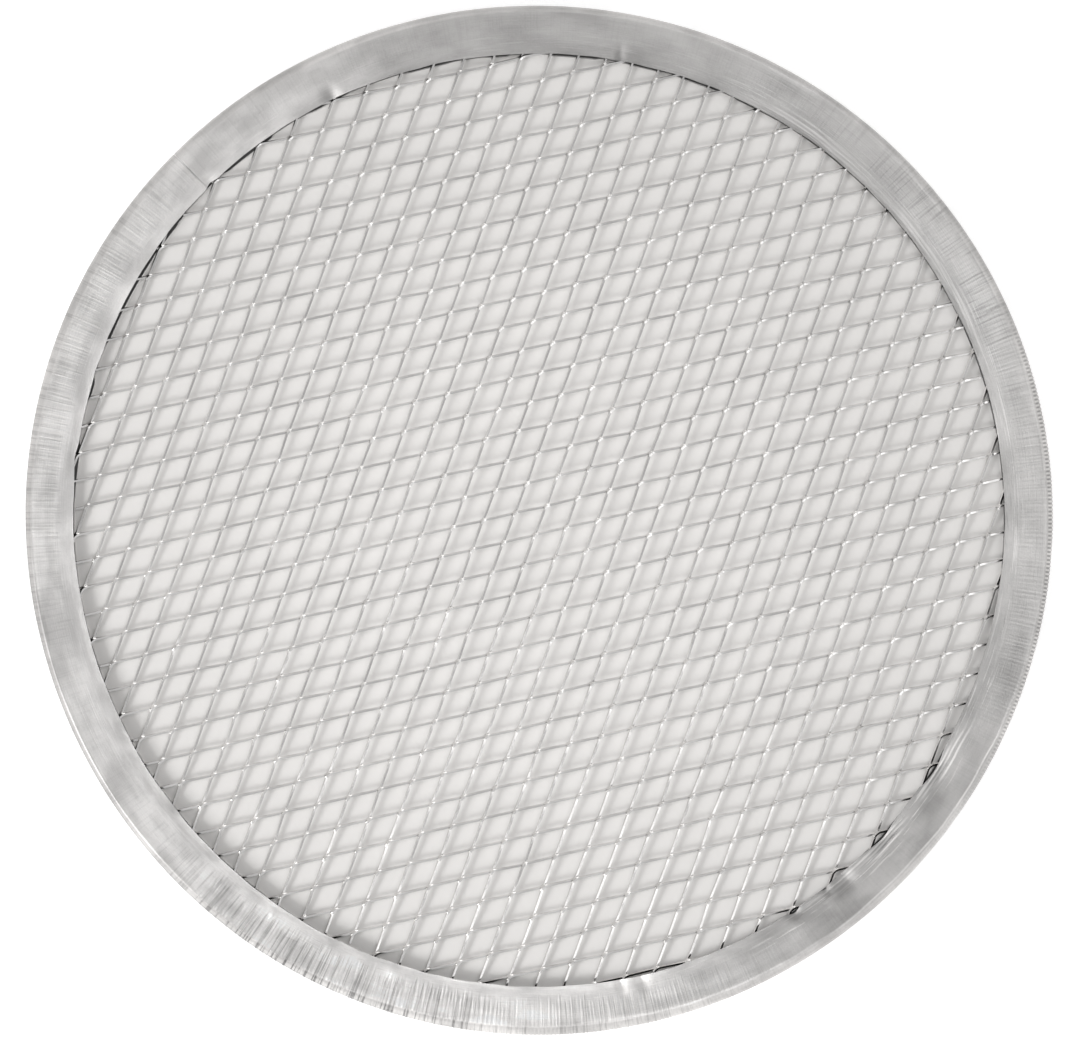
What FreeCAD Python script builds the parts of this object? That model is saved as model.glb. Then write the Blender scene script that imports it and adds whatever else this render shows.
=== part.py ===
"""Pizza screen: a round of raised expanded metal, clamped all round in a folded rim.

Millimetres. +Z is up, and the origin is at the middle of the circle that the rim rests on.
+X points to the right and +Y away from someone who looks down on the screen.
"""
import FreeCAD, Part
import math
import os

# The rim, a strip of thin sheet folded once round the edge of the mesh
outer_diameter = 305.0
rim_width = 14.3
rim_height = 3.6
rim_sheet = 0.6
seam_gap = 0.4
seam_angle = 135.0

# The mesh, one sheet that is slit and pulled open into diamonds
long_pitch = 16.72
short_pitch = 8.83
long_way_angle = 40.95
short_way_angle = 131.9
strand_width = 0.9
mesh_height = 1.6
strand_shift = 0.3
strand_step = 0.15
knuckle_x = -1.27
knuckle_y = -4.78

# How the two pieces meet
mesh_tuck = 1.6
grip_clearance = 0.05

outer_radius = outer_diameter / 2
lip_radius = outer_radius - rim_width
mesh_radius = lip_radius + mesh_tuck
mesh_bottom = rim_sheet
mesh_top = mesh_bottom + mesh_height

Z_AXIS = FreeCAD.Vector(0, 0, 1)
CENTRE = FreeCAD.Vector(0, 0, 0)


def polygon_face(points):
    """A flat face with straight sides through the points."""
    return Part.Face(Part.makePolygon(points + points[:1]))


def fold_corner(radius):
    """How far from the middle of a fold its flats change direction, for half an octagon."""
    return radius * math.tan(math.pi / 8)


def half_fold(centre_radius, radius):
    """The fold's corners from below to above, as (radius from the axis, height)."""
    middle = rim_height / 2
    corner = fold_corner(radius)
    return [
        (centre_radius + corner, middle - radius),
        (centre_radius + radius, middle - corner),
        (centre_radius + radius, middle + corner),
        (centre_radius + corner, middle + radius),
    ]


def rim_section():
    """The folded strip: a flat lower flange, the fold, and an upper flange that slopes down on the mesh."""
    fold_radius = rim_height / 2
    fold_centre = outer_radius - fold_radius
    lip_underside = mesh_top + grip_clearance
    outside = half_fold(fold_centre, fold_radius)
    inside = half_fold(fold_centre, fold_radius - rim_sheet)
    section = [(lip_radius, 0)] + outside
    section += [(lip_radius, lip_underside + rim_sheet), (lip_radius, lip_underside)]
    section += inside[::-1] + [(lip_radius, rim_sheet)]
    return polygon_face([FreeCAD.Vector(r, 0, z) for r, z in section])


def make_rim():
    """The section turned about the axis, from one end of the strip round to the other."""
    gap_turn = math.degrees(seam_gap / outer_radius)
    section = rim_section()
    section.rotate(CENTRE, Z_AXIS, seam_angle + gap_turn / 2)
    return section.revolve(CENTRE, Z_AXIS, 360 - gap_turn)


def strand(section, offset, direction):
    """One straight strand across the disc, its section given as (across, height)."""
    reach = max(abs(offset + across) for across, height in section)
    if reach >= mesh_radius:
        return None
    half_length = math.sqrt(mesh_radius**2 - reach**2)
    points = [FreeCAD.Vector(-half_length, offset + across, height) for across, height in section]
    bar = polygon_face(points).extrude(FreeCAD.Vector(2 * half_length, 0, 0))
    bar.rotate(CENTRE, Z_AXIS, direction)
    return bar


def half_pitch(pitch, angle):
    """The step from the middle of a diamond to one of its knuckles."""
    turn = math.radians(angle)
    return FreeCAD.Vector(math.cos(turn), math.sin(turn), 0) * (pitch / 2)


def strand_family(section, side, other_side):
    """All the strands along one side of the diamonds, one of them through the knuckle near the middle."""
    direction = math.degrees(math.atan2(side.y, side.x))
    start = side.cross(FreeCAD.Vector(knuckle_x, knuckle_y, 0)).z / side.Length
    spacing = side.cross(other_side).Length / side.Length
    count = int((mesh_radius + abs(start)) / spacing) + 1
    bars = [strand(section, start + i * spacing, direction) for i in range(-count, count + 1)]
    return Part.makeCompound([bar for bar in bars if bar])


def make_mesh():
    """Two families of leaning strands that cut through each other at every knuckle, as one piece."""
    half_width = strand_width / 2
    flat_on_top = [
        (-half_width, mesh_top),
        (half_width, mesh_top),
        (strand_shift, mesh_bottom + strand_step),
    ]
    flat_below = [
        (-half_width, mesh_bottom),
        (half_width, mesh_bottom),
        (-strand_shift, mesh_top - strand_step),
    ]
    long_way = half_pitch(long_pitch, long_way_angle)
    short_way = half_pitch(short_pitch, short_way_angle)
    shallow_side = long_way - short_way
    steep_side = long_way + short_way
    shallow = strand_family(flat_on_top, shallow_side, steep_side)
    steep = strand_family(flat_below, steep_side, shallow_side)
    return shallow.fuse(steep)


os.makedirs("parts", exist_ok=True)
make_rim().exportStep("parts/rim.step")
make_mesh().exportStep("parts/mesh.step")
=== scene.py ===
"""The looks of a pizza screen: expanded aluminium mesh clamped in a folded aluminium rim.

Metres, in the part's own frame: +Z up, +X to the right and +Y up in the picture. A place round the rim is an
angle in degrees from +X, anticlockwise. A place across the rim is a distance in mm from the lip, outwards.
"""
import math

import bpy
import numpy as np
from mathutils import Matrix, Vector


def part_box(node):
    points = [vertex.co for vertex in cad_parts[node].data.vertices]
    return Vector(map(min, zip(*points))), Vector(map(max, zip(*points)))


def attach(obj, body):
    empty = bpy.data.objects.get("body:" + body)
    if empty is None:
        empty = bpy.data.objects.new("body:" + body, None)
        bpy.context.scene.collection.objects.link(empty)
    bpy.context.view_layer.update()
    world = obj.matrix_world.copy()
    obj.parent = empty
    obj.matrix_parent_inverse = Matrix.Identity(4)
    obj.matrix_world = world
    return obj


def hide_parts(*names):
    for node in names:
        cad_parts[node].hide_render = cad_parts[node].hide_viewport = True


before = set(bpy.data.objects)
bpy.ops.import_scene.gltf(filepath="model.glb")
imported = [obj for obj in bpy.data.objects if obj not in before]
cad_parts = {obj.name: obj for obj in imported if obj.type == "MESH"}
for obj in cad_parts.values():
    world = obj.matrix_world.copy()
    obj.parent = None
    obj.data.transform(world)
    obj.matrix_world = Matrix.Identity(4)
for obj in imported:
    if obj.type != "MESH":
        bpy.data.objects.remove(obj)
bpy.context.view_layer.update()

MM = 0.001

# The rim: the part's box, sheet and joint, with a width and a gap a little less than the part's
RIM_LOW, RIM_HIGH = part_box("rim")
FULL_RADIUS = (RIM_HIGH[0] - RIM_LOW[0]) / 2
RIM_TOP = RIM_HIGH[2]
RIM_WIDTH = 14.25 * MM
RIM_SHEET = 0.6 * MM
SEAM_ANGLE = 135.0
SEAM_GAP = 0.12 * MM

# Rolled by hand, it is not quite round: it bulges at three and at two places, by this much from this angle
THREE_BULGES = (0.38 * MM, 23.8)
TWO_BULGES = (0.26 * MM, 117.5)
MEAN_RADIUS = FULL_RADIUS - THREE_BULGES[0] - TWO_BULGES[0]
LIP_RADIUS = MEAN_RADIUS - RIM_WIDTH
RIM_LENGTH_MM = 2 * math.pi * MEAN_RADIUS / MM
RIM_WIDTH_MM = RIM_WIDTH / MM

# The strip lies a little under the part's top, so that its wrinkles stay inside the part's box
WRINKLE_ROOM = 0.15 * MM
STRIP_TOP = RIM_TOP - WRINKLE_ROOM
FOLD_RADIUS = (STRIP_TOP - RIM_SHEET) / 2
FOLD_START_MM = (RIM_WIDTH - STRIP_TOP / 2) / MM

# The mesh: the part's box, lattice and middle knuckle, with a radius a little less than the part's
MESH_LOW, MESH_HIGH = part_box("mesh")
MESH_RADIUS = 139.4 * MM
LONG_PITCH = 16.72 * MM
SHORT_PITCH = 8.83 * MM
LONG_WAY = math.radians(40.95)
SHORT_WAY = math.radians(131.9)
KNUCKLE = (-1.27 * MM, -4.78 * MM)
ALONG = np.array([math.cos(LONG_WAY), math.sin(LONG_WAY), 0.0])
ASIDE = np.array([-math.sin(LONG_WAY), math.cos(LONG_WAY), 0.0])
UP = np.array([0.0, 0.0, 1.0])

# How the real mesh is pulled, i and j steps along the diamonds' sides: by i squared, i times j and j squared
PULL_X = (-0.0050 * MM, -0.0060 * MM, -0.0006 * MM)
PULL_Y = (-0.0019 * MM, -0.0061 * MM, -0.0065 * MM)
MESH_CROWN = 1.2 * MM
KNUCKLE_SCATTER = 0.09 * MM
SEED = 7

# The strands: ribbons that lean over by so many degrees, joined edge to edge at the knuckles
RIBBON_WIDTH = 0.62 * MM
STEEP_WIDTH = 0.78 * MM
KNUCKLE_WIDTH = 0.80 * MM
RIBBON_THICKNESS = 0.62 * MM
LEAN = 65.0
LEAN_AT_KNUCKLE = 57.0
LEAN_SCATTER = 2.0

# From the middle of a knuckle, as shares of a span: the joined part, the bend after it, where the twist ends
# and how long it is, and the rings halfway
KNUCKLE_SHARE = 0.035
BEND_SHARE = 0.045
TWIST_SHARE = 0.14
TWIST_LENGTH = 0.08
MIDDLE_RINGS = [0.36, 0.64]
WELD_GRID = 1e-8

# The photograph's frame, and the mean circle of the rim in it
PHOTO_WIDTH = 1080
PHOTO_HEIGHT = 1058
RIM_CENTRE_X = 538.7
RIM_CENTRE_Y = 519.0
RIM_RADIUS_PX = 514.2
CAMERA_HEIGHT = 1.5
SENSOR = 36.0
VIEW_END = 20.0

# The lamps: name, azimuth, elevation, distance, size, power
SOFTBOXES = [
    ("left_softbox", 217, 28, 1.8, 0.62, 23.5),
    ("right_softbox", 318, 27, 0.8, 0.2, 0.13),
    ("top_softbox", 40, 68, 1.8, 1.1, 8.4),
]

# The studio round them is lighter low down than overhead, and towards one side by this much
LIGHT_LOW_DOWN = 0.92
LIGHT_OVERHEAD = 0.39
OVERHEAD_FROM = 0.9
WORLD_BRIGHT_SIDE = math.radians(240)
WORLD_LEAN = 0.12

# The paper that it lies on, and how much is added for the camera to see plain white
FLOOR_HALF = 4.0
FLOOR_GAP = 0.02 * MM
WHITE_LIFT = 0.38


def smooth(t):
    """Rises from 0 to 1 with no slope at either end."""
    t = np.clip(t, 0.0, 1.0)
    return t * t * (3 - 2 * t)


def away_from(angle, centre):
    """How far each angle is from the centre one, in degrees, with a sign."""
    return (angle - centre + 180) % 360 - 180


def on_arc(angle, start, end, soft):
    """1 on the arc from start anticlockwise to end, in degrees, with soft ends."""
    away = np.abs(away_from(angle, (start + end) / 2))
    return smooth(((end - start + soft) / 2 - away) / soft)


def arc_sum(angle, arcs, soft):
    """The strengths of the arcs that each angle is on, given as (from, to, strength), added up."""
    return sum(strength * on_arc(angle, start, end, soft) for start, end, strength in arcs)


def hump(t):
    """A soft hump of height 1 round 0, about 1 wide each way."""
    return np.exp(-t * t)


def value_noise(x, y, seed):
    """Uneven soft bumps about one unit across, from -1 to 1, for x and y of 0 or more."""
    grid = np.random.default_rng(seed).uniform(-1, 1, (int(x.max()) + 2, int(y.max()) + 2))
    i, j = x.astype(int), y.astype(int)
    fx, fy = smooth(x - i), smooth(y - j)
    low = grid[i, j] * (1 - fx) + grid[i + 1, j] * fx
    high = grid[i, j + 1] * (1 - fx) + grid[i + 1, j + 1] * fx
    return low * (1 - fy) + high * fy


def add_piece(name, vertices, faces, materials, sharp_from):
    """A piece of sheet metal, smooth but for edges sharper than so many degrees."""
    data = bpy.data.meshes.new(name)
    data.from_pydata(vertices.tolist(), [], faces)
    data.polygons.foreach_set("use_smooth", [True] * len(faces))
    data.set_sharp_from_angle(angle=math.radians(sharp_from))
    for material in materials:
        data.materials.append(material)
    piece = bpy.data.objects.new(name, data)
    bpy.context.scene.collection.objects.link(piece)
    return piece


# Shader nodes


def new_material(name):
    material = bpy.data.materials.new(name)
    material.use_nodes = True
    material.node_tree.nodes.clear()
    return material


def grey(value, warmth=0.0):
    return (value * (1 + warmth), value, value * (1 - warmth), 1.0)


class Nodes:
    """Adds shader nodes to one material or world and links them."""

    def __init__(self, owner):
        self.tree = owner.node_tree

    def add(self, kind, settings=None, **inputs):
        """A new node, its inputs given by name or, as i0, i1 and so on, by number."""
        node = self.tree.nodes.new(kind)
        for key, value in (settings or {}).items():
            setattr(node, key, value)
        for key, value in inputs.items():
            numbered = key[0] == "i" and key[1:].isdigit()
            self.put(node.inputs[int(key[1:]) if numbered else key.replace("_", " ")], value)
        return node

    def put(self, socket, value):
        """Links a node's output to the socket, or sets a plain value on it."""
        if isinstance(value, bpy.types.NodeSocket):
            self.tree.links.new(value, socket)
        else:
            socket.default_value = value

    def math(self, operation, a, b=0.0, c=0.0):
        return self.add("ShaderNodeMath", {"operation": operation}, i0=a, i1=b, i2=c).outputs[0]

    def times(self, product, *others):
        """All the values multiplied together."""
        for other in others:
            product = self.math("MULTIPLY", product, other)
        return product

    def scaled(self, value, factor, added):
        """The value times the factor, plus what is added."""
        return self.math("MULTIPLY_ADD", value, factor, added)

    def apart(self, a, b):
        """How far two values are apart, without a sign."""
        return self.math("ABSOLUTE", self.math("SUBTRACT", a, b))

    def mix(self, factor, a, b):
        """From colour a to colour b."""
        return self.add("ShaderNodeMix", {"data_type": "RGBA"}, i0=factor, i6=a, i7=b).outputs[2]

    def blend(self, factor, a, b):
        """From value a to value b."""
        return self.add("ShaderNodeMix", None, i0=factor, i2=a, i3=b).outputs[0]

    def ramp(self, value, low, high):
        """Rises smoothly from 0 at the low value to 1 at the high one."""
        settings = {"interpolation_type": "SMOOTHSTEP"}
        return self.add("ShaderNodeMapRange", settings, i0=value, i1=low, i2=high).outputs[0]

    def noise(self, place, scale, detail):
        inputs = {"Vector": place, "Scale": scale, "Detail": detail, "Roughness": 0.55}
        return self.add("ShaderNodeTexNoise", None, **inputs).outputs[0]

    def bump(self, height, distance, strength):
        inputs = {"Height": height, "Distance": distance, "Strength": strength}
        return self.add("ShaderNodeBump", None, **inputs).outputs[0]

    def place(self):
        """The place on the surface, in metres from the part's origin."""
        return self.add("ShaderNodeTexCoord").outputs["Object"]

    def polar(self, place):
        """The distance from the axis and the angle round it."""
        x, y = self.add("ShaderNodeSeparateXYZ", None, i0=place).outputs[:2]
        radius = self.math("SQRT", self.math("ADD", self.times(x, x), self.times(y, y)))
        return radius, self.math("ARCTAN2", y, x)

    def finish(self, kind, **inputs):
        """Makes a shader of this kind and gives it to the material as its surface."""
        shader = self.add(kind, None, **inputs)
        self.add("ShaderNodeOutputMaterial", None, Surface=shader.outputs[0])

    def finish_metal(self, **inputs):
        self.finish("ShaderNodeBsdfPrincipled", **inputs)


class RimNodes(Nodes):
    """Nodes that know the place on the rim: the share of a turn from the seam, and the mm from the lip."""

    def __init__(self, owner):
        super().__init__(owner)
        self.here = self.place()
        radius, angle = self.polar(self.here)
        turns = self.math("DIVIDE", self.math("SUBTRACT", angle, math.radians(SEAM_ANGLE)), 2 * math.pi)
        self.share = self.math("FRACT", self.math("ADD", turns, 2.0))
        self.from_lip = self.scaled(radius, 1 / MM, -LIP_RADIUS / MM)
        ring_x = self.times(self.math("COSINE", angle), MEAN_RADIUS)
        ring_y = self.times(self.math("SINE", angle), MEAN_RADIUS)
        self.ring = self.add("ShaderNodeCombineXYZ", None, i0=ring_x, i1=ring_y, i2=radius).outputs[0]

    def by_angle(self, stops):
        """A value that follows the stops smoothly round the rim, given as (angle, value)."""
        node = self.add("ShaderNodeValToRGB", None, Fac=self.share)
        ramp = node.color_ramp
        ramp.interpolation = "B_SPLINE"
        placed = sorted(((degrees - SEAM_ANGLE) % 360 / 360, value) for degrees, value in stops)
        while len(ramp.elements) < len(placed):
            ramp.elements.new(0.5)
        for element, (position, value) in zip(ramp.elements, placed):
            element.position = position
            element.color = grey(value)
        return node.outputs[0]

    def ring_noise(self, along, across, detail):
        """Noise with its own fineness along the rim and across it."""
        scale = (along, along, across)
        stretched = self.add("ShaderNodeMapping", None, Vector=self.ring, Scale=scale).outputs[0]
        return self.noise(stretched, 1.0, detail)


# The rim's looks

# How light the metal is, from black to white, on the flange and on the fold, with the lamps' light and shade
# painted in round the rim, and by the lip as a factor of painted light and shade over the dents
# Painted light and shade on the flange: lighter on the left and bottom, darker on the upper and lower right
RIM_TONE_AND_PAINTED_LIGHT = [
    (135.4, 0.69), (160, 0.745), (200, 0.92), (225, 0.89), (245, 1.0), (262, 1.0), (280, 0.97), (290, 0.64),
    (298, 0.53), (303, 0.52), (307.5, 0.34), (312, 0.53), (317, 0.47), (323, 0.34), (330, 0.50), (338, 0.38),
    (346, 0.44), (5, 0.42), (35, 0.41), (70, 0.32), (105, 0.355), (118, 0.585), (134.6, 0.69),
]
# Painted light and shade on the fold: darker where its reflections of the lamps came out too bright, lighter
# where they came out too dark
FOLD_TONE_AND_PAINTED_LIGHT = [
    (135.4, 0.66), (150, 0.62), (172, 0.54), (188, 0.47), (222, 0.47), (236, 0.54), (250, 0.68), (268, 0.74),
    (284, 0.74), (296, 0.70), (340, 0.70), (20, 0.66), (60, 0.66), (100, 0.68), (134.6, 0.66),
]
# A factor by the lip: painted light and shade over the dents, lighter on one side of a dent and darker on the
# other
LIP_PAINTED_LIGHT = [
    (135.4, 1.0), (195, 1.0), (201, 0.88), (204, 0.82), (208, 1.0), (214, 1.0), (218, 0.84), (222, 1.0),
    (298, 1.0), (302, 0.88), (305, 1.1), (308, 0.84), (312, 1.1), (323, 0.92), (330, 1.04), (338, 0.86),
    (343, 0.9), (350, 1.04), (10, 1.08), (30, 1.1), (44, 0.96), (66, 1.0), (78, 1.06), (90, 1.06),
    (110, 1.0), (114, 1.12), (118, 0.86), (123, 0.82), (127, 1.0), (134.6, 1.0),
]

# Where the fine creases and their painted shade, the streaks by the lip and their painted highlights, and the
# hairlines that run out at a slant are strong
RIM_CREASED = [
    (135.4, 0.1), (150, 0.3), (180, 0.35), (200, 0.05), (222, 0.1), (236, 1.15), (256, 1.1), (268, 0.45),
    (284, 0.4), (292, 0.12), (305, 0.05), (330, 0.05), (345, 0.1), (14, 0.1), (24, 0.32), (40, 0.25),
    (48, 0.12), (62, 0.02), (110, 0.05), (134.6, 0.1),
]
STREAKED = [
    (135.4, 0.05), (175, 0.05), (192, 0.1), (228, 0.1), (240, 0.05), (296, 0.1), (304, 0.4), (334, 0.4),
    (342, 0.15), (12, 0.1), (24, 0.12), (60, 0.12), (68, 0.05), (120, 0.05), (134.6, 0.1),
]
SCRATCHED = [
    (135.4, 0.2), (220, 0.2), (240, 1.0), (268, 1.0), (280, 0.2), (335, 0.1), (352, 0.6), (4, 0.6),
    (12, 0.1), (134.6, 0.2),
]
HAIRLINE_SLANT = 0.09

# The beads of the outer edge: mm from one to the next, mm from the edge to the middle of their shading, how
# strong it is and where
BEAD_PITCH = 1.2
BEADS_FROM_EDGE = 0.9
BEAD_CONTRAST = 0.34
BEADED = [
    (135.4, 0.0), (232, 0.0), (240, 0.08), (290, 0.08), (298, 0.0), (330, 0.0), (338, 1.0), (15, 1.0),
    (24, 0.0), (134.6, 0.0),
]

# The lines a roller left by the lip and by the fold, painted as highlights: where they lie, how far they
# wander, where they show
LIP_LINES = (1.2, 2.3, 3.7)
FOLD_LINE = 11.9
LINE_WANDER = 1.6
LIP_LINED = [
    (135.4, 0.0), (207, 0.0), (212, 0.12), (220, 0.12), (227, 0.0), (303, 0.0), (306, 0.3), (309, 0.2),
    (312, 0.3), (315, 0.5), (319, 0.5), (322, 0.2), (325, 0.4), (331, 0.5), (335, 0.0), (20, 0.0),
    (26, 0.15), (38, 0.15), (44, 0.0), (50, 0.15), (60, 0.15), (64, 0.0), (134.6, 0.0),
]
FOLD_LINED = [(135.4, 0.0), (278, 0.0), (288, 0.5), (312, 0.35), (333, 0.5), (340, 0.0), (134.6, 0.0)]

# Bare aluminium looks a little warm under this light
RED_CAST = 1.02
BLUE_CAST = 0.985


def rim_tone_and_painted_light(nodes, on_fold):
    """How light the metal is, with the lamps' light and shade painted in round the rim and over the dents by
    the lip, before the painted highlights of the lines and the painted shade of the creases go on.
    """
    near_lip = nodes.ramp(nodes.from_lip, 6.5, 2.5)
    flange = nodes.times(nodes.by_angle(RIM_TONE_AND_PAINTED_LIGHT), nodes.blend(near_lip, 1.0, nodes.by_angle(LIP_PAINTED_LIGHT)))
    return nodes.blend(on_fold, flange, nodes.by_angle(FOLD_TONE_AND_PAINTED_LIGHT))


def lip_highlight_streaks(nodes):
    """Thin bright streaks along the lip: painted highlights, which the bump also raises a little."""
    near_lip = nodes.ramp(nodes.from_lip, 7.5, 4.5)
    streaks = nodes.ramp(nodes.ring_noise(70, 1900, 2.0), 0.56, 0.68)
    return nodes.times(streaks, near_lip, nodes.by_angle(STREAKED))


def slanted_hairlines(nodes):
    """Thin dark scratches that run out to the fold at a slant."""
    around = nodes.times(nodes.share, RIM_LENGTH_MM)
    slanted = nodes.scaled(around, HAIRLINE_SLANT, nodes.from_lip)
    place = nodes.add("ShaderNodeCombineXYZ", None, i0=nodes.times(around, 0.06), i1=slanted).outputs[0]
    return nodes.times(nodes.ramp(nodes.noise(place, 2.2, 1.0), 0.66, 0.72), nodes.by_angle(SCRATCHED))


def rolled_line(nodes, wander, middle):
    """A soft line round the rim, so many mm from the lip."""
    return nodes.ramp(nodes.apart(wander, middle + LINE_WANDER / 2), 0.5, 0.05)


def rolled_line_highlights(nodes):
    """The lines that a roller left, which wander and break up, those by the lip the most: painted highlights,
    which the bump also raises a little.
    """
    wander = nodes.scaled(nodes.ring_noise(50, 1, 1.0), LINE_WANDER, nodes.from_lip)
    broken = nodes.ramp(nodes.ring_noise(60, 250, 1.0), 0.34, 0.60)
    by_lip = 0.0
    for middle in LIP_LINES:
        by_lip = nodes.math("MAXIMUM", by_lip, rolled_line(nodes, wander, middle))
    by_lip = nodes.times(by_lip, broken, nodes.by_angle(LIP_LINED))
    by_fold = nodes.times(rolled_line(nodes, wander, FOLD_LINE), nodes.by_angle(FOLD_LINED))
    return nodes.math("MAXIMUM", by_lip, nodes.times(by_fold, nodes.blend(broken, 0.5, 1.0)))


def bead_shade(nodes):
    """Light on each bead of the outer edge and dark between them, as a factor round 1."""
    wave = nodes.math("SINE", nodes.times(nodes.share, 2 * math.pi * RIM_LENGTH_MM / BEAD_PITCH))
    on_edge = nodes.ramp(nodes.apart(nodes.from_lip, RIM_WIDTH_MM - BEADS_FROM_EDGE), 0.8, 0.3)
    return nodes.scaled(nodes.times(wave, on_edge, nodes.by_angle(BEADED)), BEAD_CONTRAST, 1.0)


def rim_material():
    """Bright rolled aluminium with mottled places, painted shade on the upper right and lower right, painted
    highlights along the lip and its lines, and painted shade in the creases.
    """
    material = new_material("rim_aluminium")
    nodes = RimNodes(material)
    on_fold = nodes.ramp(nodes.from_lip, RIM_WIDTH_MM - 2.4, RIM_WIDTH_MM - 1.6)
    blotches = nodes.ring_noise(70, 160, 4.0)
    clouds = nodes.ring_noise(16, 60, 2.0)
    rolling = nodes.ring_noise(25, 3000, 2.0)
    creases = nodes.ring_noise(1500, 50, 1.0)
    speckle = nodes.noise(nodes.here, 1800.0, 2.0)
    # Streaks by the lip and rolled lines: a little bump, and painted highlights in the colour
    streak_bumps_and_highlights = nodes.math("MAXIMUM", lip_highlight_streaks(nodes), rolled_line_highlights(nodes))

    mottled = nodes.blend(nodes.ramp(blotches, 0.32, 0.68), 0.84, 1.05)
    clouded = nodes.blend(nodes.ramp(clouds, 0.3, 0.7), 0.92, 1.05)
    speckled = nodes.blend(speckle, 0.95, 1.05)
    value = nodes.times(rim_tone_and_painted_light(nodes, on_fold), nodes.times(mottled, clouded, speckled))

    crease_reach = nodes.scaled(nodes.ring_noise(700, 1, 1.0), 8.0, nodes.from_lip)
    creased = nodes.times(nodes.by_angle(RIM_CREASED), nodes.ramp(crease_reach, 7.5, 9.5))
    # Painted shade in the troughs of the fine creases, with a faint painted highlight on their crests
    crease_shade = nodes.blend(nodes.ramp(creases, 0.36, 0.48), -0.27, 0.04)
    value = nodes.scaled(crease_shade, creased, value)
    # Painted highlights along the streaks and lines
    value = nodes.scaled(streak_bumps_and_highlights, 0.7, value)
    value = nodes.scaled(slanted_hairlines(nodes), -0.14, value)
    value = nodes.times(value, bead_shade(nodes))
    red = nodes.times(value, RED_CAST)
    blue = nodes.times(value, BLUE_CAST)
    colour = nodes.add("ShaderNodeCombineColor", None, i0=red, i1=value, i2=blue).outputs[0]
    rough = nodes.blend(on_fold, nodes.blend(blotches, 0.24, 0.44), 0.72)

    relief = nodes.times(nodes.math("SUBTRACT", creases, 0.5), creased)
    relief = nodes.scaled(rolling, 0.12, relief)
    relief = nodes.scaled(speckle, 0.08, relief)
    relief = nodes.scaled(streak_bumps_and_highlights, 0.3, relief)
    bump = nodes.bump(relief, 0.16 * MM, 1.0)
    nodes.finish_metal(Base_Color=colour, Metallic=1.0, Roughness=rough, Normal=bump)
    return material


def rim_inside_material():
    """The inside of the fold and the back of the sheet: dark dull metal, painted shade that makes the gap
    under the lip look dark.
    """
    material = new_material("rim_inside")
    nodes = Nodes(material)
    shade_mottle = nodes.noise(nodes.place(), 300.0, 4.0)
    colour = nodes.mix(shade_mottle, grey(0.03, 0.02), grey(0.12, 0.02))
    nodes.finish_metal(Base_Color=colour, Metallic=0.6, Roughness=nodes.scaled(shade_mottle, 0.2, 0.55))
    return material


# The rim's shape

# How strongly the flange is wrinkled, and the outer edge beaded by the rolling tool: (from, to, strength)
WRINKLES = [(-24, 18, 0.12), (18, 45, 0.45), (146, 190, 0.12), (227, 262, 1.9), (262, 292, 0.2)]
WRINKLE_HEIGHT = 0.06 * MM
BEADS = [(-26, 20, 1.0), (232, 297, 0.4)]
BEAD_HEIGHT = 0.12 * MM

# Dents in the upper flange: (angle, half width in degrees, mm from the lip, half length in mm, depth in mm)
DENTS = [
    (80, 0.5, 2.0, 2.5, -0.10), (116, 0.9, 0.8, 2.4, -0.28), (121.5, 1.8, 1.0, 3.0, 0.10),
    (128, 1.6, 7.0, 0.8, 0.08), (203, 1.4, 3.0, 3.0, 0.12), (218, 2.0, 2.0, 2.6, 0.14),
    (236, 0.5, 2.8, 1.2, 0.14), (244, 0.6, 2.4, 1.5, 0.14), (252, 0.6, 2.4, 1.5, 0.16),
    (280, 0.5, 1.0, 2.4, -0.34), (282.6, 0.7, 1.0, 2.8, -0.38), (303, 1.6, 4.0, 3.0, 0.14),
    (308, 1.2, 3.5, 3.0, 0.15), (310.5, 1.0, 2.5, 2.5, -0.20), (322, 2.5, 5.0, 3.0, 0.12),
    (340, 3.0, 6.0, 4.0, 0.16), (164, 2.0, 2.5, 2.2, -0.12),
]

# Ridges rolled along the flange: (from, to, mm from the lip, height in mm)
RIDGES = [
    (312, 321, 1.1, 0.16), (324, 333, 1.1, 0.16), (303.5, 308, 1.3, 0.16), (303, 333, 10.7, 0.06),
    (20, 62, 1.3, 0.05), (184, 226, 1.3, 0.03), (150, 172, 1.3, 0.04), (244, 300, 11.4, -0.10),
    (205, 226, 10.4, 0.05),
]
RIDGE_HALF_WIDTH = 0.42

# Bites where the lip is bent back: (angle, half width in degrees, mm outwards, mm up)
BITES = [
    (303, 0.9, 1.0, 0.3), (307.8, 0.6, 0.5, 0.2), (317, 2.2, 0.9, 0.4), (327.5, 2.6, 1.0, 0.4),
    (134.3, 0.7, 0.6, 0.1), (172.5, 1.5, 0.5, 0.2),
]

# Where the lower flange's edge shows inside the lip, in dashes, and where it stays back: (from, to, mm)
LOWER_EDGE_SHOWS = [(62, 118, 0.45), (118, 176, 0.75)]
LOWER_EDGE_STAYS_BACK = [(240, 352, 0.42)]
LOWER_EDGE_STRAIGHT = 0.25 * MM

# The strip's section: points along the flange and how near they come to the fold, points round the fold, and
# which points of the whole path the sheet's hidden face keeps
FLANGE_POINTS = np.array([0.0, 0.4, 1.1, 2.0, 3.2, 4.4, 5.6, 6.8, 8.0, 9.2, 10.4, 11.4]) / 11.4
FLANGE_END_MM = 0.4
FOLD_POINTS = 7
HIDDEN_POINTS = [0, 5, 11, 14, 18, 19, 20]
RIM_STEPS = 3500

# How far the lip stands off the mesh and how unevenly, and how far the strip's last end is above the first
LIP_CLEARANCE = 0.25 * MM
LIP_UNEVENNESS = 0.12 * MM
LAP_HEIGHT = 0.12 * MM
LAP_START = 341
LAP_LENGTH = 12


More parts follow.
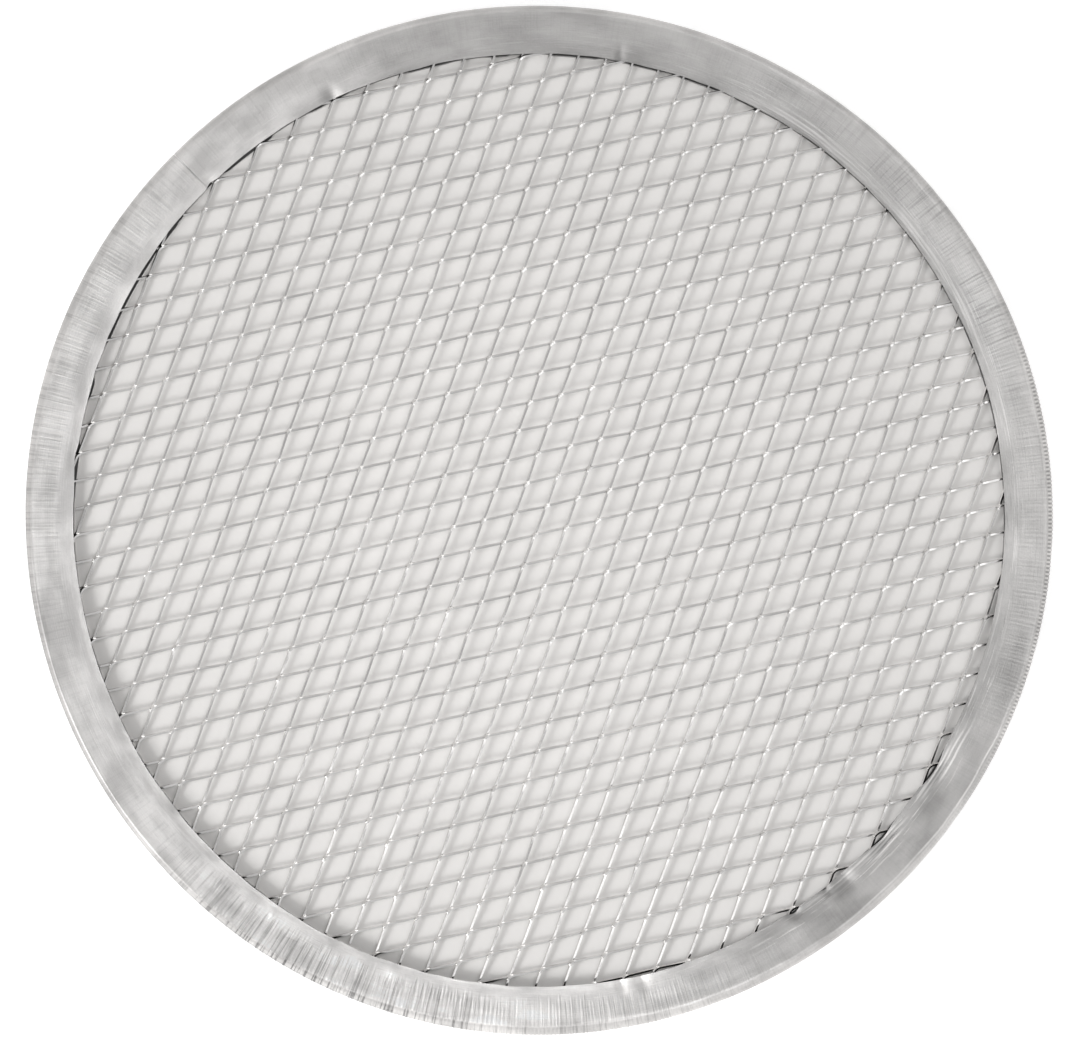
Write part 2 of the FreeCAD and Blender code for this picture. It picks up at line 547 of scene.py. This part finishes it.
def around_mm(turn):
    """How far along the rim a place is from the seam, in mm, for a turn from it in degrees."""
    return turn / 360 * RIM_LENGTH_MM


def out_of_round(angle):
    """How far the rolled rim bulges in or out."""
    three = THREE_BULGES[0] * np.cos(3 * np.radians(angle - THREE_BULGES[1]))
    return three + TWO_BULGES[0] * np.cos(2 * np.radians(angle - TWO_BULGES[1]))


def lap(turn):
    """How far the strip rises towards its last end, which stands a little above the first."""
    return LAP_HEIGHT * smooth((turn - LAP_START) / LAP_LENGTH)


def wrinkle_height(turn, angle, from_lip):
    """Fine radial wrinkles over the outer two thirds of the flange, in metres."""
    around = around_mm(turn)
    wander = 1.5 * value_noise(around / 4.0, from_lip / 9.0, 21)
    pleats = np.sin(2 * math.pi * around / 1.3 + 2.5 * wander)
    pleats = pleats + 0.8 * value_noise(around / 0.7, from_lip / 5.0, 22)
    patchy = 0.6 + 0.4 * value_noise(around / 6.0, from_lip / 20.0, 23)
    start = 2.5 + 1.2 * patchy + 1.8 * value_noise(around / 1.3, 0 * from_lip, 25)
    reach = smooth((from_lip - start) / 3.0) * smooth((RIM_WIDTH_MM - 0.6 - from_lip) / 2.0)
    return WRINKLE_HEIGHT * pleats * patchy * reach * arc_sum(angle, WRINKLES, 6)


def relief_height(turn, angle, from_lip):
    """What wrinkles, dents, ridges and slow waves add to the flange, in metres."""
    height = wrinkle_height(turn, angle, from_lip)
    for centre, half_turn, middle, half_length, depth in DENTS:
        dent = hump(away_from(angle, centre) / half_turn) * hump((from_lip - middle) / half_length)
        height = height - depth * MM * dent
    for start, end, middle, ridge in RIDGES:
        wander = 0.25 * np.sin(np.radians(angle) * 23 + middle)
        across = hump((from_lip - middle - wander) / RIDGE_HALF_WIDTH)
        height = height + ridge * MM * on_arc(angle, start, end, 3) * across
    return height + 0.05 * MM * value_noise(around_mm(turn) / 14, from_lip / 6, 24)


def flange_path(turn, angle):
    """The middle of the upper flange's sheet, from the lip to the fold, as radius and height."""
    from_lip = np.repeat((FLANGE_POINTS * (FOLD_START_MM - FLANGE_END_MM))[None, :], len(turn), 0)
    lip_height = MESH_HIGH[2] + LIP_CLEARANCE + LIP_UNEVENNESS * value_noise(turn / 5.0, 0 * turn, 31)
    share = (from_lip / FOLD_START_MM) ** 0.85
    height = lip_height + (STRIP_TOP - RIM_SHEET - lip_height) * share + RIM_SHEET / 2
    before_fold = smooth((FOLD_START_MM + 0.8 - from_lip) / 1.4)
    height = height + relief_height(turn, angle, from_lip) * before_fold + lap(turn)
    radius = LIP_RADIUS + from_lip * MM + out_of_round(angle)
    for centre, half_turn, out, lift in BITES:
        bite = hump(away_from(angle, centre) / half_turn)
        radius = radius + out * MM * bite * hump(from_lip / 1.6)
        height = height + lift * MM * bite * hump(from_lip / 2.0)
    radius = radius + 0.14 * MM * value_noise(turn / 2.2, 0 * turn, 32) * hump(from_lip / 1.2)
    return radius, height


def fold_path(turn, angle):
    """The middle of the sheet round the beaded outer edge, from above to below."""
    bend = np.linspace(0, math.pi, FOLD_POINTS)[None, :]
    beads = np.sin(2 * math.pi * around_mm(turn) / BEAD_PITCH) * arc_sum(angle, BEADS, 6)
    reach = FOLD_RADIUS + BEAD_HEIGHT * beads * np.clip(1.6 * np.sin(bend), 0, 1)
    radius = LIP_RADIUS + FOLD_START_MM * MM + out_of_round(angle) + reach * np.sin(bend)
    height = STRIP_TOP / 2 + reach * np.cos(bend) + lap(turn) * (1 + np.cos(bend)) / 2
    return radius, height


def lower_edge_path(turn, angle):
    """The middle of the sheet at the lower flange's inner edge."""
    dashes = smooth(0.6 + 1.5 * value_noise(turn / 2.6, 0 * turn, 34))
    inwards = 0.10 + arc_sum(angle, LOWER_EDGE_SHOWS, 12) * dashes
    inwards = inwards - arc_sum(angle, LOWER_EDGE_STAYS_BACK, 20)
    edge = LIP_RADIUS + out_of_round(angle) - inwards * MM
    radius = np.concatenate([edge + LOWER_EDGE_STRAIGHT, edge], 1)
    return radius, np.full_like(radius, RIM_SHEET / 2)


def sheet_rings(path_radius, path_height):
    """Both faces of the sheet along the path, as one closed ring, the hidden face with fewer points."""
    across, up = np.gradient(path_radius, axis=1), np.gradient(path_height, axis=1)
    length = np.hypot(across, up)
    side_radius = -up / length * RIM_SHEET / 2
    side_height = across / length * RIM_SHEET / 2
    back = HIDDEN_POINTS[::-1]
    radius = np.concatenate([path_radius + side_radius, (path_radius - side_radius)[:, back]], 1)
    height = np.concatenate([path_height + side_height, (path_height - side_height)[:, back]], 1)
    return radius, height


def make_rim_strip():
    """The folded strip: its section swept round from one end to the other."""
    gap = math.degrees(SEAM_GAP / MEAN_RADIUS)
    turn = np.linspace(gap / 2, 360 - gap / 2, RIM_STEPS + 1)[:, None]
    angle = (turn + SEAM_ANGLE) % 360
    paths = [flange_path(turn, angle), fold_path(turn, angle), lower_edge_path(turn, angle)]
    path_radius = np.concatenate([radius for radius, height in paths], 1)
    path_height = np.concatenate([height for radius, height in paths], 1)
    radius, height = sheet_rings(path_radius, path_height)
    x = radius * np.cos(np.radians(angle))
    y = radius * np.sin(np.radians(angle))
    vertices = np.stack([x, y, height], 2).reshape(-1, 3)

    count = radius.shape[1]
    index = np.arange((RIM_STEPS + 1) * count).reshape(RIM_STEPS + 1, count)
    beside = np.roll(index, -1, 1)
    quads = np.stack([index[:-1], beside[:-1], beside[1:], index[1:]], 2).reshape(-1, 4)
    end_caps = [index[0, ::-1].tolist(), index[-1].tolist()]
    materials = [rim_material(), rim_inside_material()]
    strip = add_piece("rim_strip", vertices, quads.tolist() + end_caps, materials, 40)
    hidden = np.tile(np.arange(count) > path_radius.shape[1], RIM_STEPS)
    slots = np.concatenate([hidden, [False, False]]).astype(int)
    strip.data.polygons.foreach_set("material_index", slots)
    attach(strip, "root")
    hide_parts("rim")


# The mesh


def mesh_material():
    """Bare bright aluminium, faintly stained and grained."""
    material = new_material("mesh_aluminium")
    nodes = Nodes(material)
    place = nodes.place()
    stains = nodes.noise(place, 90.0, 3.0)
    grain = nodes.noise(place, 2500.0, 2.0)
    colour = nodes.mix(nodes.ramp(stains, 0.35, 0.65), grey(0.70, 0.012), grey(0.82, 0.012))
    rough = nodes.scaled(grain, 0.08, 0.16)
    bump = nodes.bump(grain, 0.04 * MM, 0.3)
    nodes.finish_metal(Base_Color=colour, Metallic=1.0, Roughness=rough, Normal=bump)
    return material


def stretch(factor, vector):
    """The vector times each of the factors."""
    return factor[..., None] * vector


def knuckle_grid(rows, columns):
    """The place of every knuckle as (row, column, xyz), a little uneven, over a gently pulled lattice."""
    row, column = np.mgrid[-rows:rows + 1, -columns:columns + 1]
    long_way, short_way = column * LONG_PITCH / 2, row * SHORT_PITCH / 2
    x = KNUCKLE[0] + long_way * math.cos(LONG_WAY) + short_way * math.cos(SHORT_WAY)
    y = KNUCKLE[1] + long_way * math.sin(LONG_WAY) + short_way * math.sin(SHORT_WAY)
    i, j = (column - row) / 2, (column + row) / 2
    x = x + PULL_X[0] * i * i + PULL_X[1] * i * j + PULL_X[2] * j * j
    y = y + PULL_Y[0] * i * i + PULL_Y[1] * i * j + PULL_Y[2] * j * j
    crown = MESH_CROWN * (1 - (np.hypot(x, y) / MESH_RADIUS) ** 2)
    z = (MESH_LOW[2] + MESH_HIGH[2]) / 2 + np.clip(crown, 0, None)
    scatter = np.random.default_rng(SEED).normal(0, KNUCKLE_SCATTER, x.shape + (3,)) * (1, 1, 0.6)
    return np.stack([x, y, z], 2) + scatter


def ring_places():
    """Where the rings of one span lie, from a knuckle to just before the next, closer in the bends."""
    bend_end = KNUCKLE_SHARE + BEND_SHARE
    first = [0.0, KNUCKLE_SHARE, KNUCKLE_SHARE + BEND_SHARE / 2, bend_end, TWIST_SHARE]
    return np.array(first + MIDDLE_RINGS + [1 - t for t in reversed(first[1:])])


def span_rise(t):
    """How far a ribbon has gone from one row of knuckles to the next, and its slope, flat at both ends."""
    full = 1 / (1 - 2 * KNUCKLE_SHARE - BEND_SHARE)
    first = np.minimum(t, 1 - t)
    bent = np.clip(first - KNUCKLE_SHARE, 0, BEND_SHARE)
    rise = full * (bent**2 / (2 * BEND_SHARE) + np.clip(first - KNUCKLE_SHARE - BEND_SHARE, 0, None))
    return np.where(t > 0.5, 1 - rise, rise), full * bent / BEND_SHARE


def span_ends(at_knuckles, climbs):
    """The values of the knuckles at the start and at the end of every span."""
    row = np.arange(climbs.shape[0])[:, None]
    column = np.arange(climbs.shape[1])[None, :]
    start = at_knuckles[np.where(climbs, row, row + 1), column]
    end = at_knuckles[np.where(climbs, row + 1, row), column + 1]
    return start, end


def ribbon_width(climbs, rise, near_knuckle):
    """Wider in the middle of the spans that climb, and at the knuckles."""
    steep = (climbs[..., None] * 4 * rise * (1 - rise)) ** 0.5
    width = RIBBON_WIDTH + (STEEP_WIDTH - RIBBON_WIDTH) * steep
    return width + (KNUCKLE_WIDTH - RIBBON_WIDTH) * near_knuckle * (1 - steep)


def ribbon_lean(climbs, rise, near_knuckle):
    """How far over the ribbon leans, in radians, a little different at every knuckle."""
    knuckle_counts = (climbs.shape[0] + 1, climbs.shape[1] + 1)
    leans = np.random.default_rng(SEED + 1).normal(LEAN, LEAN_SCATTER, knuckle_counts)
    start, end = span_ends(leans[..., None], climbs)
    return np.radians(start + (end - start) * rise + (LEAN_AT_KNUCKLE - LEAN) * near_knuckle)


def in_mesh(points):
    """Which points lie in the round of mesh, seen from above."""
    return np.hypot(points[..., 0], points[..., 1]) < MESH_RADIUS


def strand_rings(knuckles, climbs, places):
    """Every ring's corners as (row, span, place, corner, xyz), and which rings lie in the round of mesh."""
    start, end = span_ends(knuckles, climbs)
    rise, slope = span_rise(places)
    run = np.clip((places - KNUCKLE_SHARE) / (1 - 2 * KNUCKLE_SHARE), 0, 1)
    near_knuckle = smooth((TWIST_SHARE - np.minimum(places, 1 - places)) / TWIST_LENGTH)
    width = ribbon_width(climbs, rise, near_knuckle)
    lean = ribbon_lean(climbs, rise, near_knuckle)

    rest = end - start - ALONG * LONG_PITCH / 2
    rest_along, rest_aside, rest_up = [(rest @ way)[..., None] for way in (ALONG, ASIDE, UP)]
    heading = np.arctan2(rest_aside * slope, LONG_PITCH / 2 + rest_along)
    across = stretch(np.cos(heading), ASIDE) - stretch(np.sin(heading), ALONG)
    plate = stretch(np.cos(lean), across) - stretch(np.sin(lean), UP)
    face = stretch(np.sin(lean), across) + stretch(np.cos(lean), UP)

    side = np.where(climbs, 1.0, -1.0)[..., None] * (1 - 2 * rise)
    centre = start[..., None, :] + stretch(places * LONG_PITCH / 2 + rest_along * run, ALONG)
    centre = centre + stretch(rest_aside * rise, ASIDE) + stretch(rest_up * rise, UP)
    centre = centre + stretch(side * width / 2, plate)
    corners = []
    for a, b in ((-1, -1), (1, -1), (1, 1), (-1, 1)):
        corners.append(centre + stretch(a * width / 2, plate) + face * (b * RIBBON_THICKNESS / 2))

    inside = np.where(places >= 1 - KNUCKLE_SHARE, in_mesh(end)[..., None], in_mesh(centre))
    inside = np.where(places <= KNUCKLE_SHARE, in_mesh(start)[..., None], inside)
    return np.stack(corners, 3), inside


def strand_faces(inside, climbs, places):
    """The faces between the rings of every row, open where two rows join, with caps where one is cut."""
    rows, count = inside.shape
    index = np.arange(rows * count * 4).reshape(rows, count, 4)
    climbs = np.repeat(climbs, len(places), 1)[:, :-1]
    spot = np.tile(np.arange(len(places)), count // len(places))[:-1]
    first, last = spot == 0, spot == len(places) - 1
    joined_above = (first & ~climbs) | (last & climbs)
    joined_below = (first & climbs) | (last & ~climbs)
    never = np.zeros_like(joined_above)
    both = inside[:, :-1] & inside[:, 1:]
    faces = []
    for side, joined in enumerate((never, joined_above, never, joined_below)):
        beside = (side + 1) % 4
        here, there = index[:, :-1], index[:, 1:]
        quads = np.stack([here[..., side], here[..., beside], there[..., beside], there[..., side]], 2)
        faces.append(quads[both & ~joined])
    padded = np.pad(inside, ((0, 0), (1, 1)))
    faces.append(index[inside & ~padded[:, :-2]][:, ::-1])
    faces.append(index[inside & ~padded[:, 2:]])
    return np.concatenate(faces)


def welded(vertices, faces):
    """The vertices that the faces use, with those at one place made one, and the faces over them."""
    used, order = np.unique(faces, return_inverse=True)
    steps = np.round(vertices[used] / WELD_GRID).astype(np.int64)
    kept, merged = np.unique(steps, axis=0, return_inverse=True)
    return kept * WELD_GRID, merged.ravel()[order.reshape(faces.shape)]


def make_mesh_sheet():
    """Rows of strands that climb and fall between two rows of knuckles, joined edge to edge with the next."""
    rows = int(2 * MESH_RADIUS / SHORT_PITCH) + 3
    columns = int(2 * MESH_RADIUS / LONG_PITCH) + 3
    row, column = np.mgrid[:2 * rows, :2 * columns]
    climbs = (row + column + rows + columns) % 2 == 0
    places = ring_places()
    rings, inside = strand_rings(knuckle_grid(rows, columns), climbs, places)
    faces = strand_faces(inside.reshape(2 * rows, -1), climbs, places)
    vertices, faces = welded(rings.reshape(-1, 3), faces)
    sheet = add_piece("mesh_sheet", vertices, faces.tolist(), [mesh_material()], 35)
    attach(sheet, "root")
    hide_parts("mesh")


# The stage


def floor_material():
    """Paper painted grey under the screen as its shadow, darker towards the rim as painted shade, and white
    paper round it, which the camera sees as plain white.
    """
    material = new_material("floor_paper")
    nodes = Nodes(material)
    radius = nodes.polar(nodes.place())[0]
    outside = nodes.ramp(radius, MEAN_RADIUS - 6 * MM, MEAN_RADIUS - 2 * MM)
    # Painted shadow under the screen, deeper towards the rim
    under = nodes.mix(nodes.ramp(radius, 50 * MM, 140 * MM), grey(0.785, 0.02), grey(0.72, 0.02))
    paper = nodes.add("ShaderNodeBsdfDiffuse", None, Color=nodes.mix(outside, under, grey(0.86)))
    path = nodes.add("ShaderNodeLightPath").outputs
    seen = nodes.math("MAXIMUM", path["Is Camera Ray"], path["Is Transmission Ray"])
    seen = nodes.math("MAXIMUM", seen, path["Is Glossy Ray"])
    lift = nodes.times(seen, outside, WHITE_LIFT)
    glow = nodes.add("ShaderNodeEmission", None, Color=grey(1.0), Strength=lift)
    nodes.finish("ShaderNodeAddShader", i0=paper.outputs[0], i1=glow.outputs[0])
    return material


def make_floor():
    """A large sheet of paper just under the screen."""
    data = bpy.data.meshes.new("floor")
    corners = [(x * FLOOR_HALF, y * FLOOR_HALF, 0) for x, y in ((-1, -1), (1, -1), (1, 1), (-1, 1))]
    data.from_pydata(corners, [], [(0, 1, 2, 3)])
    data.materials.append(floor_material())
    floor = bpy.data.objects.new("floor", data)
    floor.location.z = -FLOOR_GAP
    bpy.context.scene.collection.objects.link(floor)


def make_camera():
    """Straight above the screen, placed so that the rim falls where the photograph has it."""
    scale = MEAN_RADIUS / RIM_RADIUS_PX
    right = (PHOTO_WIDTH / 2 - RIM_CENTRE_X) * scale
    up = (RIM_CENTRE_Y - PHOTO_HEIGHT / 2) * scale
    distance = CAMERA_HEIGHT - RIM_TOP / 2
    data = bpy.data.cameras.new("camera")
    data.sensor_width = SENSOR
    data.sensor_fit = "HORIZONTAL"
    data.lens = SENSOR * distance / (PHOTO_WIDTH * scale)
    data.clip_end = VIEW_END
    camera = bpy.data.objects.new("camera", data)
    camera.location = (right, up, CAMERA_HEIGHT)
    bpy.context.scene.collection.objects.link(camera)
    bpy.context.scene.camera = camera


def add_softbox(name, azimuth, elevation, distance, size, power):
    """A square lamp that looks at the middle of the screen."""
    data = bpy.data.lights.new(name, "AREA")
    data.shape = "SQUARE"
    data.size = size
    data.energy = power
    lamp = bpy.data.objects.new(name, data)
    around = math.radians(azimuth)
    above = math.radians(elevation)
    outwards = (math.cos(around) * math.cos(above), math.sin(around) * math.cos(above), math.sin(above))
    place = Vector(outwards) * distance
    lamp.location = place
    lamp.rotation_euler = place.to_track_quat("Z", "Y").to_euler()
    bpy.context.scene.collection.objects.link(lamp)


def make_world():
    """The light of the studio from every side."""
    world = bpy.data.worlds.new("studio")
    world.use_nodes = True
    bpy.context.scene.world = world
    nodes = Nodes(world)
    direction = nodes.add("ShaderNodeTexCoord").outputs["Generated"]
    x, y, z = nodes.add("ShaderNodeSeparateXYZ", None, i0=direction).outputs
    levels = {"i1": 0.0, "i2": OVERHEAD_FROM, "i3": LIGHT_LOW_DOWN, "i4": LIGHT_OVERHEAD}
    strength = nodes.add("ShaderNodeMapRange", None, i0=z, **levels).outputs[0]
    strength = nodes.scaled(x, WORLD_LEAN * math.cos(WORLD_BRIGHT_SIDE), strength)
    strength = nodes.scaled(y, WORLD_LEAN * math.sin(WORLD_BRIGHT_SIDE), strength)
    background = world.node_tree.nodes["Background"]
    nodes.put(background.inputs["Color"], grey(1.0))
    nodes.put(background.inputs["Strength"], strength)


make_camera()
make_floor()
for softbox in SOFTBOXES:
    add_softbox(*softbox)
make_world()
make_mesh_sheet()
make_rim_strip()
bpy.context.scene.view_settings.view_transform = "Standard"
